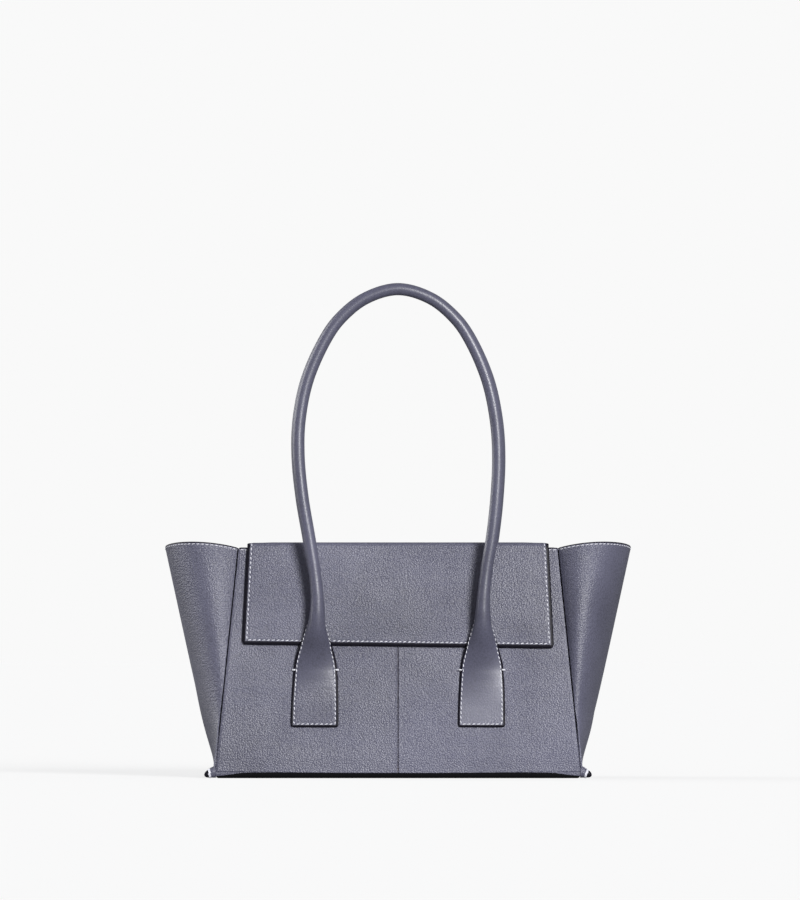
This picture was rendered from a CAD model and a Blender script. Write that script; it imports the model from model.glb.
# %% [markdown]
# # A leather flap tote bag
# The bag is sewn from grained calf leather with painted edges and off-white thread. This lesson
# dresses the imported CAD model: every sheet of leather, lining and suede is a surface worked out
# with numpy from the bag's own sizes, and it moves with the CAD body that it belongs to.

import math

import bpy
import numpy as np
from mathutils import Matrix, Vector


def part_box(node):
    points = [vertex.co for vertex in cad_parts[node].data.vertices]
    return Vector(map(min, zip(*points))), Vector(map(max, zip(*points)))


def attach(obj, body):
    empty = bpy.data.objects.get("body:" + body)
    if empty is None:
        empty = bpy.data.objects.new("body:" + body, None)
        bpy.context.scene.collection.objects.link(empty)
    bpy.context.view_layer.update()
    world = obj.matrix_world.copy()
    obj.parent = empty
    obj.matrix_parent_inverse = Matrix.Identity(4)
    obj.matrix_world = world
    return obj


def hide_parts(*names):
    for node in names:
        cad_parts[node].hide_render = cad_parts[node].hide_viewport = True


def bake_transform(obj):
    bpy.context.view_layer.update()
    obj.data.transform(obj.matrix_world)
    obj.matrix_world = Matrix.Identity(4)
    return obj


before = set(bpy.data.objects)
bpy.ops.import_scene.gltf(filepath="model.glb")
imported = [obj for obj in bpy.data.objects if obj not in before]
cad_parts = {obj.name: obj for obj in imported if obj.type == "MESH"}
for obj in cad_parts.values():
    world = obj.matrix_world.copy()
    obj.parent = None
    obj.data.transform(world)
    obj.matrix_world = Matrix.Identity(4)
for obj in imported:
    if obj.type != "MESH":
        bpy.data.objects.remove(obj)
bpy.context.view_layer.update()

# %% [markdown]
# ## Sizes
# A bag maker works from a few sizes: the base, the mouth, the height and the spread of the wings.
# They could be measured from the frame's boxes, but the slopes between them can't, so the pattern's
# own sizes are written here in metres, and the next cell holds them against the frame.

# %% The pattern's sizes
GAP = 0.0003
BASE_LENGTH, BASE_DEPTH = 0.330, 0.140
MOUTH_LENGTH, MOUTH_DEPTH = 0.288, 0.092
RIM_HEIGHT, FOOT_HEIGHT = 0.2075, 0.006
PANEL_BELLY = 0.0015
LEATHER, FACING_LEATHER, LINING = 0.0016, 0.0014, 0.0007
SIDE_MARGIN = 0.0018
WING_SPAN, WING_TIP_HEIGHT, WING_CREST = 0.420, 0.2082, 0.0050
WING_SWELL_OUT, WING_SWELL_FORWARD = 0.023, {-1: 0.013, 1: 0.027}
FOLD_REACH, FOLD_HALF_DEPTH, FOLD_ROUND = 0.014, {-1: 0.060, 1: 0.054}, 0.006
FLAP_TOP_WIDTH, FLAP_HEM_WIDTH, FLAP_DROP = 0.268, 0.277, 0.0914
FLAP_LEATHER, FLAP_LINING, FLAP_THICKNESS = 0.0014, 0.0008, 0.0040
FLAP_ROUND, FLAP_STAND_OFF = 0.0046, 0.0005
HINGE_ROUND, ANCHOR_HEIGHT = 0.003, 0.024
TAB_SPACING, TAB_WIDTH, TAB_NECK_WIDTH = 0.150, 0.0427, 0.0395
TUBE_RADIUS, HANDLE_LEATHER = 0.0055, 0.0018
LEFT, RIGHT = -1, 1
FRONT, REAR = -1, 1

FLAP_TOP = RIM_HEIGHT + GAP + FLAP_THICKNESS
FLAP_HEM = FLAP_TOP - FLAP_DROP
TAB_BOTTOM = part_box("front_tab_left")[0].z
TAB_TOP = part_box("front_tab_left")[1].z
HINGE_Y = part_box("flap_anchor")[0].y
STITCH_PITCH = 0.0042

wing_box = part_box("gusset_right")
print("wing tip:", round(wing_box[1].x, 4), "against", WING_SPAN / 2)
print("tabs from", round(TAB_BOTTOM, 4), "to", round(TAB_TOP, 4))

# %% [markdown]
# ## Camera, light and floor
# The photo was taken from far away and from about half the body's height: neither the top of the
# flap nor the rear corners show. A long lens ten metres away gives that view. Two distant lights
# keep the whole floor even: a strip from the right in front, which draws the bright lines along the
# handles and the wings, and a broad light from the left and a little behind for the left side.

# %% Camera
PIXEL = 0.0009
PHOTO_WIDTH, PHOTO_HEIGHT = 800, 900
BAG_MIDDLE_PIXEL = 398
FLOOR_PIXEL = 778
CAMERA_DISTANCE, CAMERA_HEIGHT = 10.0, 0.13
SENSOR = 36.0

camera_data = bpy.data.cameras.new("camera")
camera_data.sensor_width = SENSOR
camera_data.lens = SENSOR * CAMERA_DISTANCE / (PHOTO_HEIGHT * PIXEL)
camera = bpy.data.objects.new("camera", camera_data)
camera.location = (
    (PHOTO_WIDTH / 2 - BAG_MIDDLE_PIXEL) * PIXEL,
    -(MOUTH_DEPTH + BASE_DEPTH) / 4 - CAMERA_DISTANCE,
    CAMERA_HEIGHT,
)
aim_height = (FLOOR_PIXEL - PHOTO_HEIGHT / 2) * PIXEL
camera.rotation_euler = (
    math.pi / 2 + math.atan((aim_height - CAMERA_HEIGHT) / CAMERA_DISTANCE), 0, 0
)
bpy.context.scene.collection.objects.link(camera)
bpy.context.scene.camera = camera
bpy.context.scene.view_settings.view_transform = "Standard"
print("lens", round(camera_data.lens, 1), "mm, camera at", [round(v, 3) for v in camera.location])


# %% One helper for every node, and one for every colour
def linear(code):
    """The linear red, green, blue and alpha of an sRGB hex colour."""
    values = np.array([int(code[i : i + 2], 16) for i in (1, 3, 5)]) / 255
    low, high = values / 12.92, ((values + 0.055) / 1.055) ** 2.4
    return (*np.where(values <= 0.04045, low, high).tolist(), 1.0)


def add_node(tree, kind, given):
    """A shader node whose settings, values and links are given by name: a socket is linked."""
    made = tree.nodes.new("ShaderNode" + kind)
    for name, value in given.items():
        if isinstance(name, str) and name in made.bl_rna.properties:
            setattr(made, name, value)
        elif isinstance(value, bpy.types.NodeSocket):
            tree.links.new(value, made.inputs[name])
        else:
            made.inputs[name].default_value = value
    return made


def empty_material(name):
    """A material without nodes, and its tree."""
    material = bpy.data.materials.new(name)
    material.use_nodes = True
    material.node_tree.nodes.clear()
    return material, material.node_tree


def finish_material(tree, shader):
    add_node(tree, "OutputMaterial", {"Surface": shader.outputs["BSDF"]})


# %% Light
FILL_STRENGTH = 0.34
world = bpy.data.worlds.new("soft studio")
bpy.context.scene.world = world
world.use_nodes = True
sky = world.node_tree
sky.nodes.clear()
rays = add_node(sky, "LightPath", {})
fill = add_node(sky, "Background", {"Color": linear("#F7F8FF"), "Strength": FILL_STRENGTH})
backdrop = add_node(sky, "Background", {"Color": linear("#F9F9F9"), "Strength": 1.0})
either = add_node(
    sky,
    "MixShader",
    {0: rays.outputs["Is Camera Ray"], 1: fill.outputs[0], 2: backdrop.outputs[0]},
)
add_node(sky, "OutputWorld", {"Surface": either.outputs[0]})


def distant_light(name, turned, raised, energy, width):
    """A far softbox: degrees right of the camera and up, its energy, its width in degrees."""
    data = bpy.data.lights.new(name, "SUN")
    data.energy = energy
    data.angle = math.radians(width)
    light = bpy.data.objects.new(name, data)
    light.rotation_euler = (math.radians(90 - raised), 0, math.radians(turned))
    bpy.context.scene.collection.objects.link(light)


distant_light("strip", turned=21, raised=16, energy=4.1, width=17)
distant_light("side", turned=-108, raised=14, energy=2.3, width=50)

# %% Floor
FLOOR_HALF = 40.0
FLOOR_GLOW = 0.72
paper, tree = empty_material("matt_pale_paper")
rays = add_node(tree, "LightPath", {})
whitened = add_node(
    tree,
    "Math",
    {"operation": "MULTIPLY", 0: rays.outputs["Is Camera Ray"], 1: FLOOR_GLOW},
)
shader = add_node(
    tree,
    "BsdfPrincipled",
    {
        "Base Color": linear("#8C8C8B"),
        "Roughness": 0.9,
        "IOR": 1.0,
        "Emission Color": linear("#FFFFFF"),
        "Emission Strength": whitened.outputs[0],
    },
)
finish_material(tree, shader)
floor_mesh = bpy.data.meshes.new("floor")
floor_corners = [(-1, -1), (1, -1), (1, 1), (-1, 1)]
floor_mesh.from_pydata(
    [(x * FLOOR_HALF, y * FLOOR_HALF, 0.0) for x, y in floor_corners], [], [(0, 1, 2, 3)]
)
floor_mesh.materials.append(paper)
floor = bpy.data.objects.new("floor", floor_mesh)
bpy.context.scene.collection.objects.link(floor)
print("floor", 2 * FLOOR_HALF, "m wide")

# %% [markdown]
# ## Materials
# The leather is drummed calf: tumbling raises a pebble a millimetre and a half wide, and a thin
# semi-matt finish gives it a broad, soft gloss. It could be an image, but Voronoi cells at the
# pebble's real size give the same look from every side and need no unwrapping. All patterns read
# Object coordinates, which are metres here because every piece sits at the origin.


# %% Grained calf leather
PEBBLE = 0.0015
PORE = 0.0004


def calf_leather(name, light, dark, grain, gloss, ior=1.6, smooth=None):
    """Drummed calf: pebbles of warped Voronoi cells, finer pores, and patches of stronger grain.
    smooth is the strip's half length, from the edge of a tab and the length over which the grain
    and the roughness give way to the rolled tube's: three lengths in metres along the strip."""
    material, tree = empty_material(name)
    place = add_node(tree, "TexCoord", {}).outputs["Object"]
    warp = add_node(tree, "TexNoise", {"Vector": place, "Scale": 0.9 / PEBBLE, "Detail": 1.0})
    shift = add_node(
        tree,
        "VectorMath",
        {"operation": "MULTIPLY_ADD", 0: warp.outputs["Color"], 1: (PEBBLE * 0.45,) * 3, 2: place},
    )
    pebbles = add_node(
        tree,
        "TexVoronoi",
        {"feature": "F1", "Vector": shift.outputs[0], "Scale": 1 / PEBBLE, "Randomness": 0.8},
    )
    pores = add_node(tree, "TexNoise", {"Vector": place, "Scale": 1 / PORE, "Detail": 2.0})
    patches = add_node(tree, "TexNoise", {"Vector": place, "Scale": 16.0, "Detail": 2.0})
    strength = add_node(
        tree,
        "MapRange",
        {"Value": patches.outputs[0], "From Min": 0.35, "From Max": 0.65, "To Min": 0.6},
    )
    raised = add_node(
        tree,
        "Math",
        {
            "operation": "MULTIPLY_ADD", 0: pores.outputs[0], 1: -0.30,
            2: pebbles.outputs["Distance"],
        },
    )
    height = add_node(
        tree,
        "Math",
        {"operation": "MULTIPLY", 0: raised.outputs[0], 1: strength.outputs[0]},
    )
    if smooth:
        half, start, over = smooth
        cloth = add_node(tree, "UVMap", {"uv_map": "cloth"}).outputs[0]
        along = add_node(tree, "SeparateXYZ", {0: cloth}).outputs[1]
        from_end = add_node(tree, "Math", {"operation": "PINGPONG", 0: along, 1: half})
        kept = add_node(
            tree,
            "MapRange",
            {
                "Value": from_end.outputs[0],
                "From Min": start,
                "From Max": start + over,
                "To Min": 1.0,
                "To Max": 0.15,
            },
        )
        height = add_node(
            tree,
            "Math",
            {"operation": "MULTIPLY", 0: height.outputs[0], 1: kept.outputs[0]},
        )
    bump = add_node(
        tree,
        "Bump",
        {"invert": True, "Strength": grain, "Distance": 0.36 * PEBBLE, "Height": height.outputs[0]},
    )
    clouds = add_node(tree, "TexNoise", {"Vector": place, "Scale": 9.0, "Detail": 4.0})
    tone = add_node(
        tree,
        "Math",
        {
            "operation": "MULTIPLY_ADD", 0: pebbles.outputs["Distance"], 1: -0.45,
            2: clouds.outputs[0],
        },
    )
    colour = add_node(
        tree,
        "Mix",
        {
            "data_type": "RGBA",
            0: add_node(
                tree,
                "MapRange",
                {"Value": tone.outputs[0], "From Min": -0.05, "From Max": 0.5},
            ).outputs[0],
            6: linear(dark),
            7: linear(light),
        },
    )
    rough = add_node(
        tree,
        "MapRange",
        {"Value": pebbles.outputs["Distance"], "To Min": gloss - 0.05, "To Max": gloss + 0.12},
    )
    if smooth:
        rough = add_node(
            tree,
            "Math",
            {"operation": "MULTIPLY_ADD", 0: kept.outputs[0], 1: 0.12, 2: rough.outputs[0]},
        )
    shader = add_node(
        tree,
        "BsdfPrincipled",
        {
            "Base Color": colour.outputs[2],
            "Roughness": rough.outputs[0],
            "IOR": ior,
            "Normal": bump.outputs[0],
        },
    )
    finish_material(tree, shader)
    return material


leather = calf_leather("drummed_calf_leather", "#5D5D6F", "#3E3E4C", 1.0, 0.40, ior=1.55)
tube_leather = calf_leather(
    "rolled_calf_leather", "#575769", "#3D3D4A", 1.0, 0.33, ior=1.55, smooth=(0.462, 0.016, 0.030)
)
base_leather = calf_leather("black_base_leather", "#0B0B0E", "#060608", 0.35, 0.8, ior=1.2)
print("leathers:", [m.name for m in (leather, tube_leather, base_leather)])


# %% [markdown]
# Cut edges are sanded and painted: an acrylic paint that dries to a smooth satin bead, nearly
# black here. The thread is waxed polyester, off-white, and twisted from three plies.

# %% Edge paint and thread
def plain_finish(name, light, dark, mottle, roughness, ior, bump_size, bump_depth, sheen=0.0):
    """Two near shades mottled by noise of one size, with a fine bump of another."""
    material, tree = empty_material(name)
    place = add_node(tree, "TexCoord", {}).outputs["Object"]
    patches = add_node(tree, "TexNoise", {"Vector": place, "Scale": 1 / mottle, "Detail": 3.0})
    colour = add_node(
        tree,
        "Mix",
        {"data_type": "RGBA", 0: patches.outputs[0], 6: linear(dark), 7: linear(light)},
    )
    fine = add_node(tree, "TexNoise", {"Vector": place, "Scale": 1 / bump_size, "Detail": 2.0})
    bump = add_node(tree, "Bump", {"Distance": bump_depth, "Height": fine.outputs[0]})
    given = {
        "Base Color": colour.outputs[2],
        "Roughness": roughness,
        "IOR": ior,
        "Normal": bump.outputs[0],
    }
    if sheen:
        given["Sheen Weight"] = sheen
    finish_material(tree, add_node(tree, "BsdfPrincipled", given))
    return material


edge_paint = plain_finish(
    "satin_edge_paint", "#100E1A", "#0A0912", 0.006, 0.5, 1.25, 0.0015, 0.00008
)
thread = plain_finish(
    "waxed_polyester_thread", "#E4E4EA", "#CFCFD8", 0.002, 0.55, 1.5, 0.0005, 0.0001
)
suede = plain_finish(
    "napped_suede", "#5C5C6A", "#494956", 0.004, 0.95, 1.45, 0.0006, 0.0002, sheen=0.35
)
rope = plain_finish(
    "twisted_cotton_rope", "#D9D4C4", "#C2BBA8", 0.003, 0.9, 1.5, 0.0004, 0.0002, sheen=0.2
)
fibre_board = plain_finish(
    "bonded_fibre_board", "#8C7350", "#6E5839", 0.003, 0.85, 1.5, 0.0008, 0.0001
)
print("finishes:", [m.name for m in (edge_paint, thread, suede, rope, fibre_board)])


# %% [markdown]
# The lining is a plain-woven cotton. Its threads are about 0.4 mm apart; they're drawn 0.8 mm
# apart, so that they show. The magnets are nickel-plated steel with a faint turned pattern.

# %% Lining and magnets
WEAVE = 0.0008


def woven_cotton():
    """Two crossed sine waves, along the piece's own length and height, held in its UV in metres."""
    material, tree = empty_material("plain_woven_cotton")
    place = add_node(tree, "UVMap", {"uv_map": "cloth"}).outputs[0]
    parts = add_node(tree, "SeparateXYZ", {0: place})
    waves = []
    for axis in (0, 1):
        angle = add_node(
            tree,
            "Math",
            {"operation": "MULTIPLY", 0: parts.outputs[axis], 1: 2 * math.pi / WEAVE},
        )
        wave = add_node(tree, "Math", {"operation": "SINE", 0: angle.outputs[0]})
        waves.append(wave.outputs[0])
    weave = add_node(tree, "Math", {"operation": "MULTIPLY", 0: waves[0], 1: waves[1]})
    share = add_node(tree, "MapRange", {"Value": weave.outputs[0], "From Min": -1.0})
    colour = add_node(
        tree,
        "Mix",
        {"data_type": "RGBA", 0: share.outputs[0], 6: linear("#34343D"), 7: linear("#484854")},
    )
    bump = add_node(tree, "Bump", {"Distance": 0.0001, "Height": share.outputs[0]})
    shader = add_node(
        tree,
        "BsdfPrincipled",
        {
            "Base Color": colour.outputs[2],
            "Roughness": 0.85,
            "Sheen Weight": 0.15,
            "Normal": bump.outputs[0],
        },
    )
    finish_material(tree, shader)
    return material


def plated_steel():
    """Nickel plate over steel: a metal with fine turned rings round the magnet's axis."""
    material, tree = empty_material("nickel_plated_steel")
    place = add_node(tree, "TexCoord", {}).outputs["Object"]
    rings = add_node(
        tree,
        "TexWave",
        {"wave_type": "RINGS", "rings_direction": "Y", "Vector": place, "Scale": 600.0},
    )
    rough = add_node(tree, "MapRange", {"Value": rings.outputs[1], "To Min": 0.24, "To Max": 0.36})
    shader = add_node(
        tree,
        "BsdfPrincipled",
        {"Base Color": linear("#C6C5C4"), "Metallic": 1.0, "Roughness": rough.outputs[0]},
    )
    finish_material(tree, shader)
    return material


lining_cloth = woven_cotton()
nickel = plated_steel()
print("finishes:", lining_cloth.name, nickel.name)

# %% [markdown]
# ## Surfaces on a grid
# A sheet is a function of two parameters: across and up. Evaluated on a grid it gives the outer
# face; the same points moved inwards by the thickness give the inner face, and a half-round rim
# joins them like a painted edge. Solidify would do nearly the same, but it leaves edges square.


# %% Shares and grids
def mix(start, end, share):
    return start + (end - start) * share


def eased(share):
    """Held to 0..1, with a gentle start and end: three times its square less twice its cube."""
    share = np.clip(share, 0.0, 1.0)
    return share * share * (3 - 2 * share)


def unit(vectors):
    return vectors / np.linalg.norm(vectors, axis=-1, keepdims=True)


def spaced(count, crowding=0.7):
    """Shares from 0 to 1 that lie closer at both ends: t less a sine of one full turn."""
    t = np.linspace(0.0, 1.0, count)
    return t - crowding * np.sin(2 * np.pi * t) / (2 * np.pi)


def stack(*axes):
    """Points from their x, y and z, each an array or a number."""
    return np.stack(np.broadcast_arrays(*axes), axis=-1).astype(float)


def grid_quads(rows, columns):
    """The four corner numbers of every cell of a grid that is counted row by row."""
    first = (np.arange(rows - 1)[:, None] * columns + np.arange(columns - 1)).ravel()
    return np.stack([first, first + 1, first + 1 + columns, first + columns], axis=1)


def ring_quads(rings):
    """Cells between rows of corner numbers that close on themselves."""
    here, after = rings[:-1], rings[1:]
    cells = [here, after, np.roll(after, -1, axis=1), np.roll(here, -1, axis=1)]
    return np.stack(cells, axis=-1).reshape(-1, 4)


def closed_tube(points, rows, tips=None):
    """A tube's points, row by row, and a tip at each end, its quads, and the fans of triangles
    round its tips, which are the middles of its end rows unless they're given."""
    columns = len(points) // rows
    numbers = np.arange(rows * columns).reshape(rows, columns)
    if tips is None:
        tips = np.stack([points[:columns].mean(axis=0), points[-columns:].mean(axis=0)])
    first = [np.full(columns, len(points)), np.roll(numbers[0], -1), numbers[0]]
    last = [np.full(columns, len(points) + 1), numbers[-1], np.roll(numbers[-1], -1)]
    fans = np.concatenate([np.stack(first, axis=1), np.stack(last, axis=1)])
    return np.concatenate([points, tips]), ring_quads(numbers)[:, ::-1], fans


def grid_normals(points):
    """Unit normals of a grid: its direction across, crossed with its direction up."""
    return unit(np.cross(np.gradient(points, axis=1), np.gradient(points, axis=0)))


print("a crowded share:", spaced(6).round(3))


# %% From arrays to a mesh
def make_mesh(name, points, quads, triangles=(), kinds=None, cloth=None):
    """A smooth mesh from whole arrays: corners, quads, triangles, a material number a face,
    and the cloth coordinates of each corner in metres."""
    mesh = bpy.data.meshes.new(name)
    triangles = np.array(triangles, int).reshape(-1, 3)
    corners = np.concatenate([quads.ravel(), triangles.ravel()])
    starts = np.concatenate(
        [np.arange(len(quads)) * 4, len(quads) * 4 + np.arange(len(triangles)) * 3]
    )
    mesh.vertices.add(len(points))
    mesh.vertices.foreach_set("co", points.ravel())
    mesh.loops.add(len(corners))
    mesh.loops.foreach_set("vertex_index", corners)
    mesh.polygons.add(len(starts))
    mesh.polygons.foreach_set("loop_start", starts)
    if kinds is not None:
        mesh.polygons.foreach_set("material_index", kinds)
    if cloth is not None:
        layer = mesh.uv_layers.new(name="cloth")
        layer.data.foreach_set("uv", cloth[corners].ravel())
    mesh.update(calc_edges=True)
    mesh.shade_smooth()
    return mesh


def add_piece(name, mesh, materials, nodes=()):
    """An object at the origin for a mesh, with its materials and its nodes."""
    thing = bpy.data.objects.new(name, mesh)
    for material in materials:
        mesh.materials.append(material)
    bpy.context.scene.collection.objects.link(thing)
    if nodes:
        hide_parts(*nodes)
    return thing


TURNED_EDGE = 0.0004
PAINT_LAP = 0.0004
RIM_STEPS = 6


def drawn_in(points, first, last):
    """A grid whose rows begin and end the given distances further in. Each point moves along its
    row by a share of them that eases to nothing three such distances from the edge."""
    steps = np.linalg.norm(np.diff(points, axis=1), axis=2)
    gone = np.pad(steps.cumsum(axis=1), ((0, 0), (1, 0)))
    left = gone[:, -1:] - gone
    wanted = gone + first * (1 - eased(gone / (3 * first))) - last * (1 - eased(left / (3 * last)))
    at = (gone[:, None, :] <= wanted[:, :, None]).sum(axis=2) - 1
    at = np.clip(at, 0, points.shape[1] - 2)
    low, high = (np.take_along_axis(gone, at + step, axis=1) for step in (0, 1))
    share = ((wanted - low) / (high - low))[..., None]
    before, after = (np.take_along_axis(points, (at + step)[..., None], axis=1) for step in (0, 1))
    return mix(before, after, share)


def sheet(
    name, points, thickness, materials, nodes=(), rims=(1, 1, 1, 1), bulge=1.3, outset=0.0
):
    """A closed sheet: an outer face, an inner face its thickness behind it, and a rim.
    Materials are for the outer face, the rim and the inner face. rims is 1 for each painted edge
    and 0 for a turned one, which is tighter: bottom, right, top and left. A painted edge is half
    an ellipse that reaches out by bulge times half the thickness, outset of it beyond the grid,
    and laps a little over the face."""
    bottom, right, top, left = (
        bulge * thickness / 2 - outset if painted else TURNED_EDGE for painted in rims
    )
    points = drawn_in(points, left, right)
    points = drawn_in(points.swapaxes(0, 1), bottom, top).swapaxes(0, 1)
    rows, columns = points.shape[:2]
    normals = grid_normals(points).reshape(-1, 3)
    outer = points.reshape(-1, 3).copy()
    index = np.arange(rows * columns).reshape(rows, columns)
    loop = np.concatenate([index[0, :-1], index[:-1, -1], index[-1, :0:-1], index[:0:-1, 0]])
    edge, lift = outer[loop], normals[loop]
    tangent = unit(np.roll(edge, -1, axis=0) - np.roll(edge, 1, axis=0))
    away = unit(np.cross(tangent, lift))
    around = np.repeat(rims, [columns - 1, rows - 1, columns - 1, rows - 1])
    radius = thickness / 2
    overhang = np.where(around == 1, bulge * radius, TURNED_EDGE)[:, None]
    inner = outer - normals * thickness
    middle = edge - lift * radius
    turns = np.linspace(0, np.pi, RIM_STEPS + 1)[1:-1, None, None]
    rings = middle + lift * np.cos(turns) * radius + away * np.sin(turns) * overhang
    count, ring = rows * columns, len(loop)
    numbers = 2 * count + np.arange((RIM_STEPS - 1) * ring).reshape(-1, ring)
    rim = np.concatenate([loop[None], numbers, (loop + count)[None]])
    front = grid_quads(rows, columns)
    back = front[:, ::-1] + count
    sides = ring_quads(rim)
    across = np.linalg.norm(np.diff(points, axis=1, prepend=points[:, :1]), axis=2).cumsum(axis=1)
    upward = np.linalg.norm(np.diff(points, axis=0, prepend=points[:1]), axis=2).cumsum(axis=0)
    distances = (upward, across[:, -1:] - across, upward[-1:] - upward, across)
    nearest = np.min([distance + 1 - painted for distance, painted in zip(distances, rims)], axis=0)
    faces = (nearest[:-1, :-1] < PAINT_LAP) & (nearest[1:, 1:] < PAINT_LAP)
    kinds = np.concatenate(
        [faces.ravel().astype(int), np.full(len(back), 2), np.tile(around, RIM_STEPS)]
    )
    cloth = np.stack([across, upward], axis=-1).reshape(-1, 2)
    cloth = np.concatenate([cloth, cloth, np.tile(cloth[loop], (RIM_STEPS - 1, 1))])
    mesh = make_mesh(
        name,
        np.concatenate([outer, inner, rings.reshape(-1, 3)]),
        np.concatenate([front, back, sides]),
        kinds=kinds,
        cloth=cloth,
    )
    return add_piece(name, mesh, materials, nodes)


# %% [markdown]
# ## Stitches
# Saddle stitches lie in a row at one pitch, each a little aslant. One short bead of thread is
# made once, bowed so that its ends dip into the leather, and numpy sets a copy of it at every
# place along a path on a surface. A curve with a bevel would give a cord lying on the leather.


# %% A row of stitches
SLOPE_STEP = 1e-4


def bead(length, width):
    """One stitch along x: rings round an axis that bows up in the middle, closed at both ends."""
    along = np.array([-0.5, -0.36, 0.0, 0.36, 0.5])
    fat = np.array([0.25, 0.8, 1.0, 0.8, 0.25])
    turns = np.arange(6) * np.pi / 3
    x = np.repeat(along * length, 6)
    y = np.outer(fat, np.cos(turns)).ravel() * width / 2
    z = np.outer(fat, np.sin(turns)).ravel() * width * 0.36 + np.repeat(
        width * (0.28 - 2.0 * along**2), 6
    )
    tips = [[side * length / 2, 0, -0.22 * width] for side in (-1, 1)]
    return closed_tube(np.stack([x, y, z], axis=1), 5, tips)


def set_beads(name, centre, along, side, length, width):
    """A piece of stitches: a copy of the bead at every centre, turned to lie along and beside."""
    points, quads, triangles = bead(length, width)
    frames = np.stack([along, side, np.cross(along, side)], axis=1)
    placed = centre[:, None, :] + np.einsum("pk,nkc->npc", points, frames)
    offsets = (np.arange(len(centre)) * len(points))[:, None, None]
    quads, triangles = (quads + offsets).reshape(-1, 4), (triangles + offsets).reshape(-1, 3)
    return add_piece(name, make_mesh(name, placed.reshape(-1, 3), quads, triangles), [thread])


def stitch_row(
    name, place, u, v, body=None, pitch=STITCH_PITCH, slant=10.0, length=0.74, width=0.0008
):
    """Stitches at one pitch along a path (u, v) on the surface place(u, v), outwards from it."""
    path = place(u, v)
    gone = np.concatenate([[0.0], np.linalg.norm(np.diff(path, axis=0), axis=1).cumsum()])
    count = max(1, int(gone[-1] // pitch))
    middles = (np.arange(count) + 0.5) * gone[-1] / count

    def at(distance, du=0.0, dv=0.0):
        return place(np.interp(distance, gone, u) + du, np.interp(distance, gone, v) + dv)

    ahead, behind = at(middles + pitch / 4), at(middles - pitch / 4)
    across = at(middles, du=SLOPE_STEP) - at(middles, du=-SLOPE_STEP)
    upward = at(middles, dv=SLOPE_STEP) - at(middles, dv=-SLOPE_STEP)
    normal = unit(np.cross(across, upward))
    along = unit(ahead - behind)
    side = unit(np.cross(normal, along))
    angle = math.radians(slant)
    along, side = (
        along * math.cos(angle) + side * math.sin(angle),
        side * math.cos(angle) - along * math.sin(angle),
    )
    thing = set_beads(name, at(middles), along, side, pitch * length, width)
    if body:
        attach(thing, body)
    return thing


# %% [markdown]
# ## Front and back walls
# The front wall is two pieces of leather sewn together in the middle, the back wall is one. They
# lean in from the base to the mouth with a slight belly. Two flat plates would look like card, so
# the surface bows a little, the middle seam stands in a ridge, and the lower edge turns under.


# %% The walls' shape
def half_length(height):
    """Half the length of a wall: straight from the base's to the mouth's."""
    return mix(BASE_LENGTH / 2, MOUTH_LENGTH / 2, height / RIM_HEIGHT)


def half_depth(height):
    """A wall's distance from the middle plane: straight, plus a parabola for the belly."""
    share = height / RIM_HEIGHT
    return mix(BASE_DEPTH / 2, MOUTH_DEPTH / 2, share) + PANEL_BELLY * 4 * share * (1 - share)


BASE_BOW = -0.0014
SEAM_BAND = 0.0022
SEAM_GROOVE = 0.0005


def bottom_line(share):
    """Height of a wall's lower edge: it hangs a little between the corners, as a parabola."""
    return FOOT_HEIGHT + BASE_BOW * (1 - share**2)


def wall_relief(x, height, low):
    """How far the wall stands proud: soft bows, a slight ridge along the middle seam, the sides
    rolled back towards their seams and the lower edge rolled under."""
    soft = 0.0004 * (1 + np.sin(x * 41 + 0.6) * np.sin(height * 33))
    ridge = 0.00025 * np.exp(-((np.abs(x) - 0.0012) ** 2) / 0.0009**2)
    line = 0.00015 * np.exp(-((x + SEAM_BAND) ** 2) / 0.0006**2)
    sides = 0.0005 * (1 - eased((half_length(height) - np.abs(x)) / 0.003))
    under = 0.0009 * (1 - eased((height - low) / 0.016))
    return soft + ridge - line - sides - under


def wall_surface(face, reach, low, high, depth=0.0, relief=None, margin=0.0):
    """place(u, v) of a layer of a wall: u is a share of its half length, v from low to high."""

    def place(u, v):
        start = low(u) if callable(low) else low
        height = mix(start, high, v)
        x = u * (half_length(height) - margin)
        if reach == "half":
            x = x + np.sign(np.sum(u)) * GAP / 2
        proud = relief(x, height, start) if relief else 0.0
        return stack(x, face * (half_depth(height) - depth + proud), height)

    return place


def declare_cloth(points):
    """Declares a piece of cotton with the size it was cut to: its grid's longest row and column,
    and the sum of its cells, each half the cross product of its diagonals."""
    width = np.linalg.norm(np.diff(points, axis=1), axis=-1).sum(axis=1).max()
    length = np.linalg.norm(np.diff(points, axis=0), axis=-1).sum(axis=0).max()
    rising, falling = points[1:, 1:] - points[:-1, :-1], points[1:, :-1] - points[:-1, 1:]
    area = np.linalg.norm(np.cross(rising, falling), axis=-1).sum() / 2


def build_wall(name, place, u, rows, thickness, materials, nodes, held=None):
    """A wall's sheet on the body: u runs to the right in front and to the left behind.
    Only its upper edge is painted; the others are turned in. Cloth says how it's held."""
    points = place(*np.meshgrid(u, spaced(rows)))
    thing = sheet(name, points, thickness, materials, nodes, rims=(0, 0, 1, 0))
    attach(thing, "bag_body")
    if held:
        declare_cloth(points)


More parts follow.
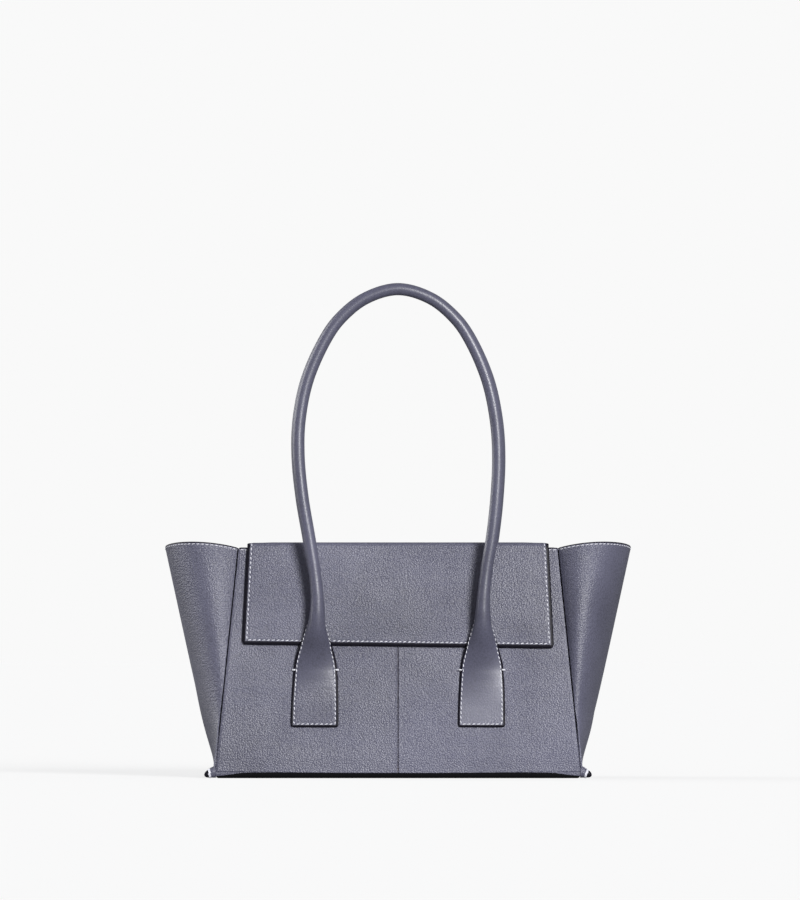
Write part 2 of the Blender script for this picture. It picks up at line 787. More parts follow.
COLUMNS, ROWS = 90, 90
leather_looks = [leather, edge_paint, suede]
front_half = wall_surface(FRONT, "half", bottom_line, RIM_HEIGHT, 0.0, wall_relief, SEAM_GROOVE)
back = wall_surface(REAR, "whole", bottom_line, RIM_HEIGHT)
build_wall(
    "front_wall_left", front_half, spaced(COLUMNS) - 1, ROWS, LEATHER, leather_looks,
    ["front_panel_left"],
)
build_wall(
    "front_wall_right", front_half, spaced(COLUMNS), ROWS, LEATHER, leather_looks,
    ["front_panel_right"],
)
build_wall(
    "back_wall", back, 1 - 2 * spaced(COLUMNS), ROWS, LEATHER, leather_looks,
    ["back_panel"],
)
RIM_SEAM_INSET = 0.0021
rim_row = 1 - RIM_SEAM_INSET / (RIM_HEIGHT - FOOT_HEIGHT)
across = np.linspace(0.99, -0.99, 200)
whole_front = wall_surface(FRONT, "whole", bottom_line, RIM_HEIGHT, relief=wall_relief)
stitch_row("front_mouth_stitches", whole_front, -across, across * 0 + rim_row, "bag_body")
stitch_row("back_mouth_stitches", back, across, across * 0 + rim_row, "bag_body")
print("walls:", ROWS * COLUMNS, "points a face")

# %% [markdown]
# ## Gussets
# Each side of the bag is one piece of leather that swells forward from the front seam, sweeps
# round to a soft fold at the wing's tip and comes back to the rear seam. In plan it is a cubic
# Bezier curve that opens from a straight line at the base to the full wing at the rim, and the
# fold's sharp point is blunted by swapping its distance for the long side of a right triangle.


# %% The gussets' shape
def gusset_plan(share, height, which):
    """Half a gusset's plan at a height: x and y from its front seam at 0 to its fold at 1.
    The right one swells a little further forward than the left, as soft leather does, and both
    are pinched in just above the base's corners."""
    lift = height / RIM_HEIGHT
    swell = lift * (2 - lift)
    side, front = half_length(height), half_depth(height)
    pinch = 1 - np.exp(-np.maximum(height - 0.0115, 0.0) / 0.0155)
    tip = side + 0.0004 + (mix(BASE_LENGTH / 2, WING_SPAN / 2, lift) - side) * pinch
    out = lift * pinch
    xs = (side, side + WING_SWELL_OUT * out, tip - FOLD_REACH * out, tip)
    ys = (
        -front,
        -mix(front * 2 / 3, front + WING_SWELL_FORWARD[which], swell),
        -mix(front / 3, FOLD_HALF_DEPTH[which], swell),
        0.0 * front,
    )
    rest = 1 - share
    weights = (rest**3, 3 * share * rest**2, 3 * share**2 * rest, share**3)
    x = sum(weight * value for weight, value in zip(weights, xs))
    y = sum(weight * value for weight, value in zip(weights, ys))
    blunt = FOLD_ROUND * np.maximum(lift, 1e-3)
    reach = tip - side
    x = tip - (np.hypot(tip - x, blunt) - blunt) * reach / (np.hypot(reach, blunt) - blunt)
    return x, y


def gusset_lap(height, which):
    """How far the gusset stands outside the front wall's edge: the leather, where it goes back."""
    x0, y0 = gusset_plan(0.0, height, which)
    x1, y1 = gusset_plan(1 / 12, height, which)
    return GAP + LEATHER * np.maximum(0.0, (y1 - y0) / np.hypot(x1 - x0, y1 - y0))


def wing_rim(share):
    """Height of the rim: from the mouth to the wing's tip, over a crest between them."""
    return mix(RIM_HEIGHT, WING_TIP_HEIGHT, share) + WING_CREST * 4 * share * (1 - share)


def gusset_surface(side, depth=0.0, below_rim=0.0):
    """place(u, v): u from one seam at -1 round the fold at 0 to the other at 1, v upwards.
    u runs from front to rear on the right and from rear to front on the left."""

    def plan(u, height):
        share = 1 - np.abs(u)
        x, y = gusset_plan(share, height, side)
        return side * (x + gusset_lap(height, side)), np.where(u * side < 0, y, -y)

    def place(u, v):
        share = 1 - np.abs(u)
        height = mix(FOOT_HEIGHT, wing_rim(share) - below_rim, v)
        x, y = plan(u, height)
        if depth:
            x1, y1 = plan(np.clip(u - 0.01, -1, 1), height)
            x2, y2 = plan(np.clip(u + 0.01, -1, 1), height)
            size = np.hypot(x2 - x1, y2 - y1)
            x, y = x - (y2 - y1) / size * depth, y + (x2 - x1) / size * depth
        return stack(x, y, height)

    return place


def build_gusset(word, side):
    """A gusset's leather, the stitches under its rim, and its lining."""
    outside = gusset_surface(side)
    across, up = np.meshgrid(mix(-1.0, 1.0, spaced(150, 0.3)), spaced(80))
    thing = sheet(
        f"gusset_leather_{word}", outside(across, up), LEATHER, leather_looks,
        [f"gusset_{word}"], rims=(0, 0, 1, 0),
    )
    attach(thing, "bag_body")
    along = np.linspace(-0.985, 0.985, 400)
    stitch_row(
        f"gusset_rim_stitches_{word}", outside, along, along * 0 + rim_row, "bag_body",
        slant=6.0, length=0.8, width=0.0007,
    )
    inside = gusset_surface(side, LEATHER + GAP + LINING, below_rim=0.0012)
    across, up = np.meshgrid(mix(0.93, -0.93, spaced(100, 0.3)), spaced(50))
    thing = sheet(
        f"gusset_cloth_{word}", inside(across, up), LINING, [lining_cloth] * 3,
        [f"gusset_lining_{word}"],
    )
    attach(thing, "bag_body")
    declare_cloth(inside(across, up))


def seam_tape_points(side, face):
    """A grid behind a side seam: its first columns lie behind the wall's edge and the others
    behind the gusset's, a little deeper than the leather."""
    depth = LEATHER + 0.0001
    behind_gusset = gusset_surface(side, depth)
    share, up = np.meshgrid(np.linspace(0.004, 0.05, 8), np.linspace(0.02, 0.99, 60))
    gusset_part = behind_gusset(side * face * (1 - share), up)
    back_off, up = np.meshgrid(np.linspace(0.0016, 0.0002, 4), np.linspace(0.02, 0.99, 60))
    height = mix(FOOT_HEIGHT, RIM_HEIGHT, up)
    wall_part = stack(
        side * (half_length(height) - back_off), face * (half_depth(height) - depth), height
    )
    return np.concatenate([wall_part, gusset_part], axis=1)


def build_seam_tape(word, side, face):
    """The turned seam allowance behind a side seam, which closes the groove."""
    points = seam_tape_points(side, face)
    if side == face:
        points = points[:, ::-1]
    tape = sheet(
        f"side_seam_tape_{word}", points, 0.0006, [base_leather, base_leather, leather],
    )
    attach(tape, "bag_body")


build_gusset("left", LEFT)
build_gusset("right", RIGHT)
for side_word, side_sign in (("left", LEFT), ("right", RIGHT)):
    for face_word, face_sign in (("front", FRONT), ("back", REAR)):
        build_seam_tape(f"{face_word}_{side_word}", side_sign, face_sign)
print("wing rim peaks at", round(float(wing_rim(np.linspace(0, 1, 101)).max()), 4))

# %% [markdown]
# ## Inside the mouth
# A strip of leather, the facing, runs inside each wall below the rim, and the cotton lining hangs
# from it. Cloth lies in slack folds, so the lining has shallow ones; a cloth simulation would give
# the same between two stitched edges, for minutes of work that nobody sees behind the flap.

# %% Facings, linings and the slip pocket
FACING_HEIGHT, LINING_TUCK = 0.038, 0.008
FACING_DEPTH = LEATHER + GAP + FACING_LEATHER
CLOTH_DEPTH = FACING_DEPTH + GAP + LINING
POCKET_WIDTH, POCKET_BOTTOM, POCKET_TOP = 0.150, 0.045, 0.150


def cloth_folds(x, height, low):
    """Slack folds of a lining: crossed sines, up to a millimetre into the bag."""
    return -0.0005 * (1 + np.sin(x * 95 + 9 * height) * np.sin(height * 48 + 14 * x))


def pocket_slack(x, height, low):
    """The pocket's mouth stands away from the lining: a bow across that grows upwards."""
    across = np.clip(1 - (x / (POCKET_WIDTH / 2)) ** 2, 0, 1)
    return -0.0010 - 0.0045 * across * ((height - low) / (POCKET_TOP - low)) ** 2


def build_inside(word, face):
    """The facing and the lining of one wall, seen from inside the bag."""
    u = face * (2 * spaced(90, 0.3) - 1)
    facing = wall_surface(
        face, "whole", RIM_HEIGHT - FACING_HEIGHT, RIM_HEIGHT, FACING_DEPTH, margin=SIDE_MARGIN
    )
    build_wall(
        f"{word}_mouth_facing", facing, u, 30, FACING_LEATHER, leather_looks,
        [f"{word}_facing"],
    )
    stitch_row(f"{word}_facing_stitches", facing, u * 0.98, u * 0 + 0.07, "bag_body")
    cloth = wall_surface(
        face, "whole", FOOT_HEIGHT, RIM_HEIGHT - FACING_HEIGHT + LINING_TUCK, CLOTH_DEPTH,
        cloth_folds, SIDE_MARGIN,
    )
    build_wall(
        f"{word}_wall_cloth", cloth, u, 60, LINING, [lining_cloth] * 3,
        [f"{word}_lining"], held="stretched",
    )


build_inside("front", FRONT)
build_inside("back", REAR)


def pocket(u, v):
    height = mix(POCKET_BOTTOM, POCKET_TOP, v)
    x = u * POCKET_WIDTH / 2
    depth = CLOTH_DEPTH + GAP + LINING
    y = half_depth(height) - depth + pocket_slack(x, height, POCKET_BOTTOM)
    return stack(x, y, height)


build_wall(
    "back_slip_pocket", pocket, 2 * spaced(60) - 1, 40, LINING, [lining_cloth] * 3,
    ["slip_pocket"], held="hung",
)
edge = np.concatenate([np.full(40, -0.97), np.linspace(-0.97, 0.97, 60), np.full(40, 0.97)])
upward = np.linspace(0.02, 0.97, 40)
rise = np.concatenate([upward[::-1], np.full(60, 0.02), upward])
stitch_row("slip_pocket_stitches", pocket, edge, rise, "bag_body", width=0.0006)
print("lining", round(CLOTH_DEPTH * 1000, 1), "mm inside the leather's face")

# %% [markdown]
# ## Base
# The bag stands on a tray of leather dyed near black, whose rim hangs a little between the
# corners as the walls do, with a board and a lining laid in it. The tray is one outline
# carried along a profile: from the middle of its underside out, up the side, over the rim and
# back inside.


# %% The tray
def rounded_outline(half_x, half_y, radius, straight=40, corner=8):
    """Points once round a rectangle with round corners, and their outward directions:
    four quarter circles with straight stretches between them."""
    turns = np.linspace(0, np.pi / 2, corner)
    points, away = [], []
    for quarter, (x, y) in enumerate([(1, -1), (1, 1), (-1, 1), (-1, -1)]):
        angle = turns + (quarter - 1) * np.pi / 2
        out = np.stack([np.cos(angle), np.sin(angle)], axis=1)
        arc = np.array([x * (half_x - radius), y * (half_y - radius)]) + radius * out
        turn = np.array([[0, -1], [1, 0]])
        stretch = 2 * (half_y if quarter % 2 == 0 else half_x) - 2 * radius
        steps = np.linspace(0, stretch, straight)[1:-1, None]
        points += [arc, arc[-1] + steps * (turn @ out[-1])]
        away += [out, np.tile(out[-1], (straight - 2, 1))]
    return np.concatenate(points), np.concatenate(away)


TRAY_ROUND = 0.003
tray_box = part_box("base_panel")
tray_half = (tray_box[1].x, tray_box[1].y)
outline, outward = rounded_outline(*tray_half, TRAY_ROUND)
arch = 1 - (outline[:, 0] / tray_half[0]) ** 2
corner_angle = np.linspace(0, np.pi / 2, 7)[1:]
under = np.linspace(0.1, 1.0, 10)
side = np.linspace(0.2, 1.0, 6)
tray_top = tray_box[1].z - LEATHER / 2
shrink = np.concatenate([under, np.ones(6 + 6 + 3 + 3), under[::-1]])
inset = np.concatenate(
    [
        np.full(10, 0.9 * TRAY_ROUND),
        TRAY_ROUND * (1 - np.sin(corner_angle)),
        np.zeros(6),
        LEATHER / 2 * (1 - np.cos(np.array([0.25, 0.5, 0.75]) * np.pi)),
        np.full(3, LEATHER),
        np.full(10, 0.9 * TRAY_ROUND),
    ]
)
level = np.concatenate(
    [
        np.zeros(10),
        TRAY_ROUND * (1 - np.cos(corner_angle)),
        mix(TRAY_ROUND, tray_top, side),
        tray_top + LEATHER / 2 * np.sin(np.array([0.25, 0.5, 0.75]) * np.pi),
        mix(tray_top, LEATHER + 0.0004, np.array([0.1, 0.5, 1.0])),
        np.full(10, LEATHER),
    ]
)
FLOOR_ROW = 27  # from here on the rows are the tray's floor, which stays level
share_up = np.where(
    np.arange(len(level)) < FLOOR_ROW, level / tray_top, (level - LEATHER) / (tray_top - LEATHER)
)
pulled = np.clip(share_up, 0, 1)
RECESS = 0.0010
TRAY_BOW = 0.8 * BASE_BOW  # less than the walls', so that no gap opens under them
tuck = RECESS * np.outer(1 - pulled, arch) * (shrink[:, None] == 1) * (level[:, None] < tray_top)
rows = (outline[None] - outward[None] * (inset[:, None] + tuck)[..., None]) * shrink[:, None, None]
heights = level[:, None] + TRAY_BOW * np.outer(pulled, arch)
points = np.concatenate([rows, heights[..., None]], axis=-1).reshape(-1, 3)
points, quads, fans = closed_tube(points, len(level), [[0, 0, 0], [0, 0, LEATHER]])
mesh = make_mesh("base_tray", points, quads, fans)
tray = add_piece("base_tray", mesh, [base_leather], ["base_panel"])
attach(tray, "bag_body")
print("tray:", len(outline), "points round,", len(level), "rows")

# %% [markdown]
# At each corner the side seam ends in a small turned tongue, bound with a few turns of thread and
# painted at its tip. It's a flattened tube that narrows outwards. Beside it, the base's turned
# edge shows as a narrow welt that runs out along the front.

# %% Corner tongues, their binding and the welts
EAR_START = BASE_LENGTH / 2 - 0.0012
EAR_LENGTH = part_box("corner_ear_front_right")[1].x - EAR_START
WELT_LENGTH, WELT_HEIGHT = 0.070, 0.0038


def ear_surface(side, face):
    """place(u, v): once round an oval with u, outwards with v; both half sizes narrow with v."""

    def place(u, v):
        closing = np.sqrt(np.clip(1 - np.clip((v - 0.72) / 0.28, 0, 1) ** 2, 0, 1))
        wide = mix(0.0046, 0.0021, eased(v)) * closing + 1e-5
        tall = mix(0.0056, 0.0024, v) * closing + 1e-5
        angle = 2 * np.pi * u * side * face
        x = side * (EAR_START + EAR_LENGTH * v)
        y = face * (tray_half[1] + 0.0006 - mix(0.0046, 0.0024, v) + wide * np.cos(angle))
        z = mix(0.0060, 0.0031, v) + tall * np.sin(angle)
        return stack(x, y, z)

    return place


def build_ear(name, side, face):
    place = ear_surface(side, face)
    rows, columns = 22, 24
    u, v = np.meshgrid(np.arange(columns) / columns, np.linspace(0, 1, rows))
    points, quads, fans = closed_tube(place(u, v).reshape(-1, 3), rows)
    tip = np.repeat(np.arange(rows - 1) > 10, columns).astype(int)
    kinds = np.concatenate([tip, np.zeros(columns, int), np.ones(columns, int)])
    mesh = make_mesh(f"{name}_tongue", points, quads, fans, kinds)
    thing = add_piece(f"{name}_tongue", mesh, [leather, edge_paint], [name])
    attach(thing, "bag_body")
    turns = np.linspace(0, 3, 120)
    lean = 0.09 * np.sin(2 * np.pi * turns * side * face)
    stitch_row(
        f"{name}_binding", place, turns, 0.44 + 0.06 * turns + lean, "bag_body",
        pitch=0.0022, length=1.3, width=0.0008, slant=0.0,
    )


def welt_surface(side, face):
    """place(u, v): along the base's edge from the corner inwards, its height running out."""

    def place(u, v):
        along = (1 - u * side * face) / 2
        x = side * (BASE_LENGTH / 2 - 0.0010 - WELT_LENGTH * (1 - along))
        top = bottom_line(x / half_length(FOOT_HEIGHT)) + 0.0006
        down = 1 - v
        z = top - (0.0010 + WELT_HEIGHT * along) * down
        round_out = np.sin(np.pi / 2 * np.clip(down / 0.35, 0, 1)) * (1 - 0.3 * down**2)
        y = face * (BASE_DEPTH / 2 - 0.0030 + 0.0027 * round_out * (0.3 + 0.7 * along))
        return stack(x, y, z)

    return place


for side_word, side_sign in (("left", LEFT), ("right", RIGHT)):
    for face_word, face_sign in (("front", FRONT), ("back", REAR)):
        build_ear(f"corner_ear_{face_word}_{side_word}", side_sign, face_sign)
        across, up = np.meshgrid(2 * spaced(60, 0.2) - 1, spaced(9))
        welt = sheet(
            f"base_welt_{face_word}_{side_word}", welt_surface(side_sign, face_sign)(across, up),
            0.0010, [leather] * 3,
        )
        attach(welt, "bag_body")
print("corner tongues reach", round(EAR_LENGTH * 1000, 1), "mm")


# %% The base's lining
def base_cloth(u, v):
    """A flat sheet over the board with a shallow swell between its edges."""
    swell = 0.0006 * (1 - u**2) * (1 - v**2) * (1 + np.sin(9 * u) * np.sin(4 * v))
    return stack(u * (tray_half[0] - 0.0019), v * (tray_half[1] - 0.0019), tray_box[1].z + swell)


across, up = np.meshgrid(2 * spaced(80, 0.2) - 1, 2 * spaced(40, 0.2) - 1)
points = base_cloth(across, up)
cloth = sheet("base_cloth", points, LINING, [lining_cloth] * 3, ["base_lining"])
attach(cloth, "bag_body")
declare_cloth(points)
print("base lining lies", round(tray_box[1].z * 1000, 1), "mm up")

# %% [markdown]
# ## Flap
# The flap is one strip of leather: sewn down outside the back, over the mouth, round a soft fold
# and down in front to its hem. It bends at two joints and a piece can follow only one, so it's
# made as two sheets that meet just in front of the rear fold. Along its edges a row of stitches
# sits in a shallow channel, with suede glued underneath, thinned so that both make one edge.

# %% The flap's shape
HEM_SKEW = 0.0018
FLAP_BULGE, FLAP_OUTSET = 3.8, 0.0018
SEAM_INSET = 0.0022
FLAP_SPLIT = 0.034
FLAP_MIDDLE = FLAP_TOP - FLAP_ROUND
FOLD_CENTRE = -(half_depth(FLAP_MIDDLE) + FLAP_STAND_OFF + FLAP_THICKNESS) + FLAP_ROUND
FOLD_LENGTH = FLAP_ROUND * math.pi / 2
HEM_V = -(FOLD_LENGTH + FLAP_MIDDLE - FLAP_HEM)
SPLIT_V = FLAP_SPLIT - FOLD_CENTRE


def flap_shape(u, v):
    """x, y's way outwards, and how far in from the nearest edge, for the front part of the flap.
    v is metres from the fold: back over the top above 0, down the front below it."""
    hem = FLAP_HEM - HEM_SKEW * u
    down = np.clip(-v - FOLD_LENGTH, 0, None) / (FLAP_MIDDLE - FLAP_HEM)
    angle = np.clip(-v / FLAP_ROUND, 0, math.pi / 2)
    height = np.where(down > 0, FLAP_MIDDLE - down * (FLAP_MIDDLE - hem), FLAP_TOP)
    half = mix(FLAP_TOP_WIDTH, FLAP_HEM_WIDTH, np.clip((FLAP_TOP - height) / FLAP_DROP, 0, 1)) / 2
    x = u * half
    from_edge = np.minimum(half * (1 - np.abs(u)), np.where(down > 0, height - hem, 1.0))
    return x, angle, height, down, from_edge


def flap_surface(depth_at, turned=1):
    """place(u, v) of a layer whose depth is a function of the distance from the edge."""

    def place(u, v):
        x, angle, height, down, from_edge = flap_shape(u * turned, v)
        depth = depth_at(from_edge, x, v)
        reach = FLAP_ROUND - depth
        wall = -(half_depth(height) + FLAP_STAND_OFF + FLAP_THICKNESS - depth)
        y = np.where(down > 0, wall, FOLD_CENTRE - reach * np.sin(angle) + np.clip(v, 0, None))
        z = np.where(down > 0, height, FLAP_MIDDLE + reach * np.cos(angle))
        return stack(x, y, z)

    return place


def leather_depth(from_edge, x, v):
    """The outer face: a channel under the stitches, a thinned edge and a slight bow."""
    channel = 0.00035 * np.exp(-(((from_edge - SEAM_INSET) / 0.0008) ** 2))
    thinned = 0.0004 * (1 - eased(from_edge / SEAM_INSET))
    bow = 0.0004 * (1 + np.sin(30 * x + 1.1) * np.sin(45 * v)) * eased((from_edge - 0.004) / 0.02)
    return channel + thinned - bow * (v < 0)


def suede_depth(from_edge, x, v):
    """The suede's own face: against the leather at the edge, over the board further in."""
    edge = FLAP_LEATHER + 0.0004 + FLAP_LINING
    return mix(edge, FLAP_THICKNESS, eased((from_edge - 0.0025) / 0.004))


flap_front = flap_surface(leather_depth)
top_v = np.linspace(SPLIT_V, 0.0, 40)
fold_v = -np.linspace(0.0, FOLD_LENGTH, 14)[1:]
wall_v = -FOLD_LENGTH - (FLAP_MIDDLE - FLAP_HEM) * (1 - (1 - np.linspace(0, 1, 90)[1:]) ** 1.4)
down_v = np.concatenate([top_v, fold_v, wall_v])
across, up = np.meshgrid(2 * spaced(150) - 1, down_v[::-1])
flap_leather = sheet(
    "flap_leather", flap_front(across, up), FLAP_LEATHER, leather_looks,
    ["flap_top_leather", "flap_front_leather"], bulge=FLAP_BULGE,
    outset=FLAP_OUTSET,
)


def follow_fold(thing):
    """Bends with the flap's front fold, from its top section to its front section."""
    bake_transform(thing)
    return thing


follow_fold(flap_leather)
flap_inside = flap_surface(suede_depth, turned=-1)
rear_v = np.linspace(HINGE_Y - GAP - FOLD_CENTRE, 0.0, 44)
inside_v = np.concatenate([rear_v, fold_v, wall_v * 0.9995])
across, up = np.meshgrid(0.999 * (2 * spaced(110) - 1), inside_v[::-1])
flap_suede = sheet(
    "flap_suede", flap_inside(across, up), FLAP_LINING, [suede, edge_paint, suede],
    ["flap_top_lining", "flap_front_lining"],
)
follow_fold(flap_suede)
print("flap hem at", round(FLAP_HEM, 4), "fold centre y", round(FOLD_CENTRE, 5))

# %% Stitches round the flap
side_u = 1 - SEAM_INSET / (FLAP_TOP_WIDTH / 2)
hem_v = HEM_V + SEAM_INSET
side_v = np.linspace(SPLIT_V - 0.001, hem_v + 0.0012, 160)
hem_u = np.linspace(side_u - 0.008, -side_u + 0.008, 160)
path_u = np.concatenate([np.full(160, side_u), hem_u, np.full(160, -side_u)])
path_v = np.concatenate([side_v, np.full(160, hem_v), side_v[::-1]])
follow_fold(stitch_row("flap_stitches", flap_front, path_u, path_v, slant=14.0))
print("flap seam:", len(path_u), "points")

# %% The flap's rear, sewn down outside the back wall
ANCHOR_OUT = FLAP_STAND_OFF + FLAP_LEATHER
ANCHOR_CENTRE = half_depth(RIM_HEIGHT) + ANCHOR_OUT - HINGE_ROUND
ANCHOR_MIDDLE = FLAP_TOP - HINGE_ROUND
REAR_FOLD = HINGE_ROUND * math.pi / 2
ANCHOR_END = REAR_FOLD + ANCHOR_MIDDLE - (RIM_HEIGHT - ANCHOR_HEIGHT)


def anchor_surface(u, v):
    """place(u, v): v is metres from the rear fold's start, forward over the top below 0, and
    round a quarter circle and down the back above it."""
    angle = np.clip(v / HINGE_ROUND, 0, math.pi / 2)
    down = np.clip(v - REAR_FOLD, 0, None)
    height = ANCHOR_MIDDLE - down
    leaning = half_depth(height) - half_depth(ANCHOR_MIDDLE)
    x = u * FLAP_TOP_WIDTH / 2
    y = ANCHOR_CENTRE + HINGE_ROUND * np.sin(angle) + np.clip(v, None, 0) + leaning * (down > 0)
    z = np.where(down > 0, height, ANCHOR_MIDDLE + HINGE_ROUND * np.cos(angle))
    return stack(x, y, z)


forward = np.linspace(FLAP_SPLIT - ANCHOR_CENTRE, 0.0, 12)
round_v = np.linspace(0.0, REAR_FOLD, 12)[1:]
down_back = REAR_FOLD + (ANCHOR_END - REAR_FOLD) * (1 - (1 - np.linspace(0, 1, 34)[1:]) ** 1.4)
across, up = np.meshgrid(2 * spaced(150) - 1, np.concatenate([forward, round_v, down_back]))
flap_rear = sheet(
    "flap_rear_leather", anchor_surface(across, up), FLAP_LEATHER, leather_looks,
    ["flap_anchor"], bulge=FLAP_BULGE, outset=FLAP_OUTSET,
)


def follow_lift(thing):
    """Bends with the flap's rear seam, from the body to the flap's top section."""
    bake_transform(thing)
    return thing


follow_lift(flap_rear)
down_v = np.linspace(FLAP_SPLIT - ANCHOR_CENTRE + 0.001, ANCHOR_END - SEAM_INSET - 0.0012, 80)
across_u = np.linspace(side_u - 0.008, -side_u + 0.008, 160)
path_u = np.concatenate([np.full(80, side_u), across_u, np.full(80, -side_u)])
path_v = np.concatenate([down_v, np.full(160, ANCHOR_END - SEAM_INSET), down_v[::-1]])
follow_lift(stitch_row("flap_rear_stitches", anchor_surface, path_u, path_v, slant=14.0))
print("rear seam", round(ANCHOR_HEIGHT * 1000), "mm below the rim")

# %% [markdown]
# ## Handles
# Each handle is one strip of leather. Its ends lie flat and are stitched down as tabs; above them
# the strip arches over a rope, curls up and closes into a tube whose edges meet at the back. Its
# section is always an arc of a circle, whose turn and width follow the distance from the tab, so
# the whole strip is one surface and bends at its bar tacks as the real one does.

# %% The handle's route and roll
ROLL_HEIGHT, ROLL_SLIT = 0.085, 0.0006
TAB_BULGE, TAB_SEAM_INSET = 2.2, 0.0028
TUBE_CLEARANCE, TUBE_LEAN = 0.0096, 0.006
LEFT_ROUTE = (
    (0.825, 0.0), (0.815, 0.09), (0.805, 0.18), (0.835, 0.262), (0.885, 0.345),
    (0.952, 0.45), (0.992, 0.56), (0.982, 0.655), (0.90, 0.762), (0.722, 0.868),
    (0.578, 0.922), (0.33, 0.975), (0.0, 1.0),
)
RIGHT_ROUTE = (
    (0.838, 0.0), (0.845, 0.09), (0.852, 0.18), (0.885, 0.262), (0.938, 0.345),
    (0.982, 0.45), (1.0, 0.56), (0.976, 0.655), (0.89, 0.762), (0.716, 0.868),
    (0.574, 0.922), (0.33, 0.975), (0.0, 1.0),
)
TURN_TABLE = (
    (-0.40, 0.0), (-0.25, 0.02), (-0.12, 0.05), (0.0, 0.095), (0.055, 0.12), (0.12, 0.165),
    (0.19, 0.225), (0.26, 0.33), (0.34, 0.47), (0.48, 0.70), (0.66, 0.87), (0.80, 0.94),
    (1.0, 1.0),
)
STAND_OFF_TABLE = (
    (-0.30, 0.0), (-0.15, 0.02), (0.0, 0.07), (0.1, 0.17), (0.27, 0.43), (0.42, 0.68),
    (0.6, 0.88), (0.8, 0.98), (1.1, 1.0),
)


def softened(table, low=-0.4, high=1.4, count=721, window=41):
    """A table of pairs as a dense smooth curve: read straight between its points, then averaged."""
    first, second = np.array(table).T
    dense = np.linspace(low, high, count)
    values = np.interp(dense, first, second)
    kernel = np.hanning(window + 2)[1:-1]
    kernel /= kernel.sum()
    padded = np.pad(values, window // 2, mode="edge")
    return dense, np.convolve(padded, kernel, mode="valid")


turn_curve = softened(TURN_TABLE)
stand_off_curve = softened(STAND_OFF_TABLE)


def smooth_route(points, count=400):
    """Cubic Hermite curve through the points, with slopes from their neighbours and knots by the
    square root of their spacing, read at equal steps of length."""
    steps = np.linalg.norm(np.diff(points, axis=0), axis=1) ** 0.5
    knots = np.concatenate([[0.0], np.cumsum(steps)])
    slopes = np.gradient(points, knots, axis=0)
    slopes[0, 0] = slopes[-1, 0] = 0.0
    samples = np.linspace(0.0, knots[-1], 40 * len(points))
    index = np.clip(np.searchsorted(knots, samples, side="right") - 1, 0, len(points) - 2)
    span = (knots[index + 1] - knots[index])[:, None]
    t = (samples - knots[index])[:, None] / span
    curve = (
        (2 * t**3 - 3 * t**2 + 1) * points[index]
        + (t**3 - 2 * t**2 + t) * span * slopes[index]
        + (3 * t**2 - 2 * t**3) * points[index + 1]
        + (t**3 - t**2) * span * slopes[index + 1]
    )
    gone = np.concatenate([[0.0], np.cumsum(np.linalg.norm(np.diff(curve, axis=0), axis=1))])
    even = np.linspace(0.0, gone[-1], count)
    return np.stack([np.interp(even, gone, curve[:, axis]) for axis in (0, 1)], axis=1), even


def tab_face(height):
    """Distance of a tab's outer face from the middle plane: the wall's, plus the strip."""
    return half_depth(height) + GAP + HANDLE_LEATHER


print("roll at the bar tacks:", round(float(np.interp(0.0, *turn_curve)) * 360), "degrees")


